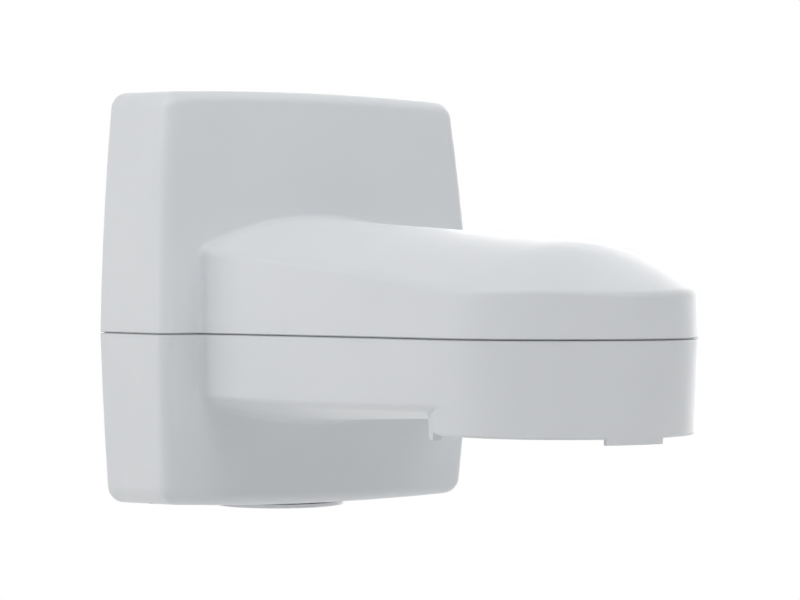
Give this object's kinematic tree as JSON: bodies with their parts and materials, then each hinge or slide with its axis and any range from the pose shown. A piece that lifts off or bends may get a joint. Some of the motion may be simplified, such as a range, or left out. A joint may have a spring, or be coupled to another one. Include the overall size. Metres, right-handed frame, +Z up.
{
  "type": "camera wall bracket",
  "caption": "Wall bracket for a dome camera: a closed two-part casting with a back box, a hollow arm and a camera ring, and a capped bottom entry.",
  "frame": {"origin": "centre of the four wall holes, on the wall plane and at the height of the seam", "axes": "+Y into the wall, so the arm points along -Y; +Z up; X = 0 is the middle plane"},
  "size_m": [0.1712, 0.3474, 0.207],
  "materials": {
    "paint": "cast aluminium alloy, powder coated satin pale grey white",
    "cap": "moulded plastic, satin, in the colour of the housing",
    "rubber": "matt black rubber",
    "steel": "stainless steel",
    "brass": "plain brass",
    "plastic": "black moulded nylon"
  },
  "bodies": {
    "root": {"cable_clamp": "plastic", "cable_clamp_screws": "steel", "camera_gasket": "rubber", "camera_lock_screw": "steel", "camera_plate": "steel", "camera_plate_screws": "steel", "conduit_cap": "cap", "conduit_cap_seal": "rubber", "cover_screw_retainers": "plastic", "cover_screw_washers": "steel", "cover_screws": "steel", "earth_screw": "brass", "earth_washer": "steel", "lower_housing": "paint", "plate_seal": "rubber", "rear_grommet": "rubber", "safety_eye": "steel", "safety_eye_nut": "steel", "seam_seal": "rubber", "upper_cover": "paint", "wall_gasket": "rubber"}
  },
  "joints": []
}
